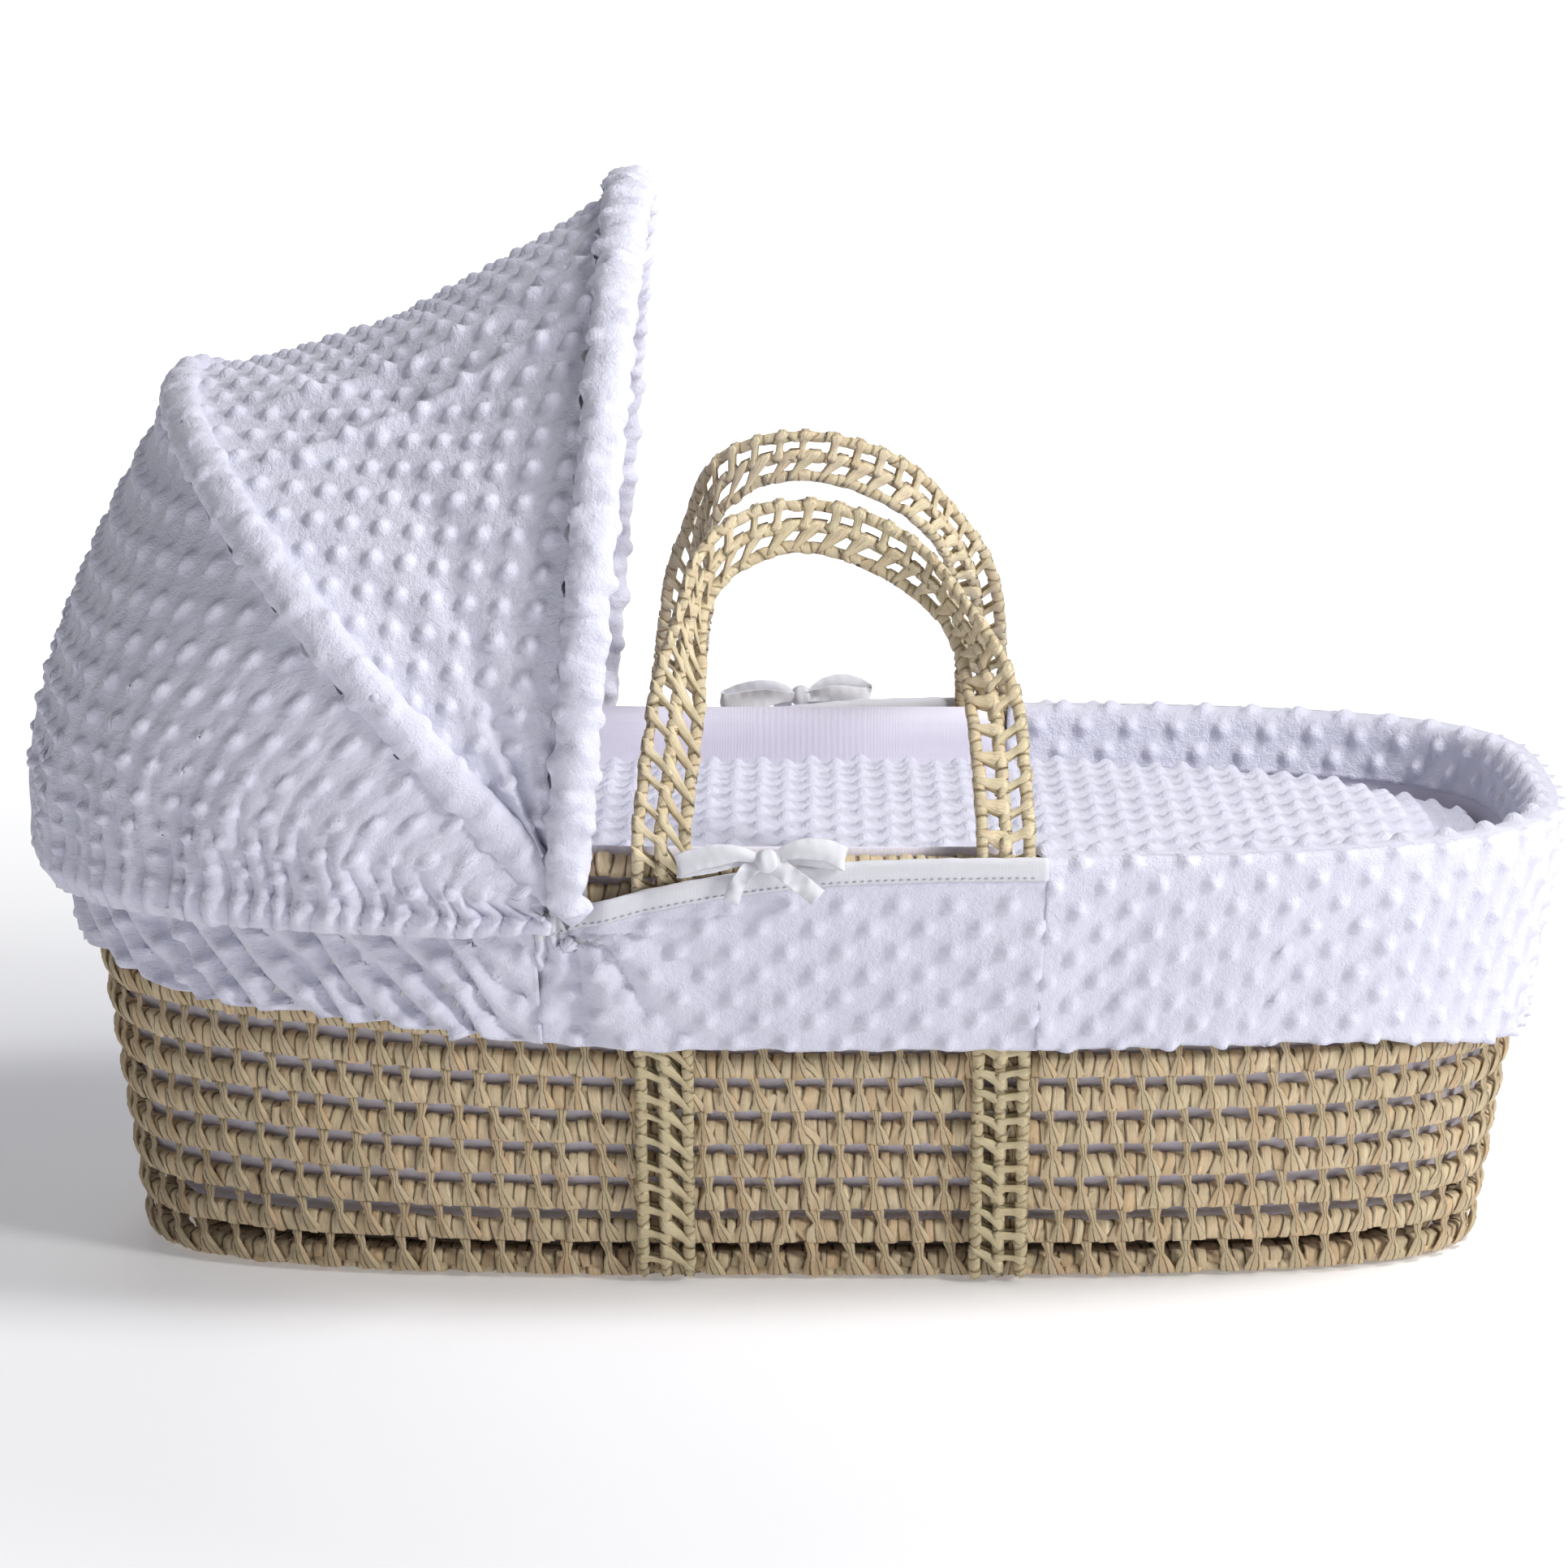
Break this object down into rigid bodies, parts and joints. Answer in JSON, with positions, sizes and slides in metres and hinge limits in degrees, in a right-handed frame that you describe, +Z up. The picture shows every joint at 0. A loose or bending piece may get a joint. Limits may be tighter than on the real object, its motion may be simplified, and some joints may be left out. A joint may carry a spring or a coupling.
{
  "type": "moses basket",
  "caption": "Woven palm-leaf baby basket with rope handles, fleece dressing, mattress, coverlet and a folding bow hood.",
  "frame": {"origin": "centre of the flat underside of the basket base", "axes": "+X from the hood end towards the foot end, +Y towards the far side, +Z up"},
  "size_m": [0.8537, 0.4778, 0.5977],
  "materials": {
    "palm_leaf": "split palm leaf, dry and slightly glossy",
    "palm_rope": "palm leaf wrapped tight round a core",
    "dimple_fleece": "soft plush fleece with raised dots",
    "white_cotton": "plain woven cotton",
    "lining_cotton": "plain woven cotton lining",
    "bow_plastic": "smooth moulded rod",
    "bracket_steel": "zinc plated"
  },
  "bodies": {
    "basket": {"basket_base": "palm_leaf", "basket_wall": "palm_leaf", "basket_rim": "palm_leaf", "leg_cord_near_head_head": "palm_rope", "leg_cord_near_head_middle": "palm_rope", "leg_cord_near_head_foot": "palm_rope", "leg_cord_near_foot_head": "palm_rope", "leg_cord_near_foot_middle": "palm_rope", "leg_cord_near_foot_foot": "palm_rope", "leg_cord_far_head_head": "palm_rope", "leg_cord_far_head_middle": "palm_rope", "leg_cord_far_head_foot": "palm_rope", "leg_cord_far_foot_head": "palm_rope", "leg_cord_far_foot_middle": "palm_rope", "leg_cord_far_foot_foot": "palm_rope", "leg_lacing_near_head": "palm_rope", "leg_lacing_near_foot": "palm_rope", "leg_lacing_far_head": "palm_rope", "leg_lacing_far_foot": "palm_rope", "liner": "lining_cotton", "skirt_foot": "dimple_fleece", "skirt_head": "dimple_fleece", "panel_near": "dimple_fleece", "binding_near": "white_cotton", "tie_near": "white_cotton", "panel_far": "dimple_fleece", "binding_far": "white_cotton", "tie_far": "white_cotton", "mattress": "white_cotton", "coverlet": "dimple_fleece", "hood_bracket_near": "bracket_steel", "hood_bush_near": "bow_plastic", "hood_pin_near": "bracket_steel", "hood_bracket_far": "bracket_steel", "hood_bush_far": "bow_plastic", "hood_pin_far": "bracket_steel", "hood_back": "dimple_fleece", "hood_elastic": "white_cotton"},
    "near_handle": {"handle_cord_near_inner": "palm_rope", "handle_cord_near_middle": "palm_rope", "handle_cord_near_outer": "palm_rope", "handle_lacing_near": "palm_rope"},
    "far_handle": {"handle_cord_far_inner": "palm_rope", "handle_cord_far_middle": "palm_rope", "handle_cord_far_outer": "palm_rope", "handle_lacing_far": "palm_rope"},
    "rear_bow": {"rear_bow": "bow_plastic", "rear_casing": "dimple_fleece", "hood_canopy": "dimple_fleece"},
    "front_bow": {"front_bow": "bow_plastic", "front_casing": "dimple_fleece"}
  },
  "joints": [
    {"name": "near_handle_swing", "type": "hinge", "parent": "basket", "child": "near_handle", "pos_m": [0, -0.213, 0.268], "axis": [1, 0, 0], "range_deg": [-50, 130]},
    {"name": "far_handle_swing", "type": "hinge", "parent": "basket", "child": "far_handle", "pos_m": [0, 0.213, 0.268], "axis": [-1, 0, 0], "range_deg": [-50, 130]},
    {"name": "rear_bow_fold", "type": "hinge", "parent": "basket", "child": "rear_bow", "pos_m": [-0.131, 0, 0.237], "axis": [0, -1, 0], "range_deg": [0, 26], "deforming": ["hood_back", "hood_elastic"]},
    {"name": "front_bow_fold", "type": "hinge", "parent": "rear_bow", "child": "front_bow", "pos_m": [-0.131, 0, 0.237], "axis": [0, -1, 0], "range_deg": [0, 30], "deforming": ["hood_canopy"]}
  ]
}
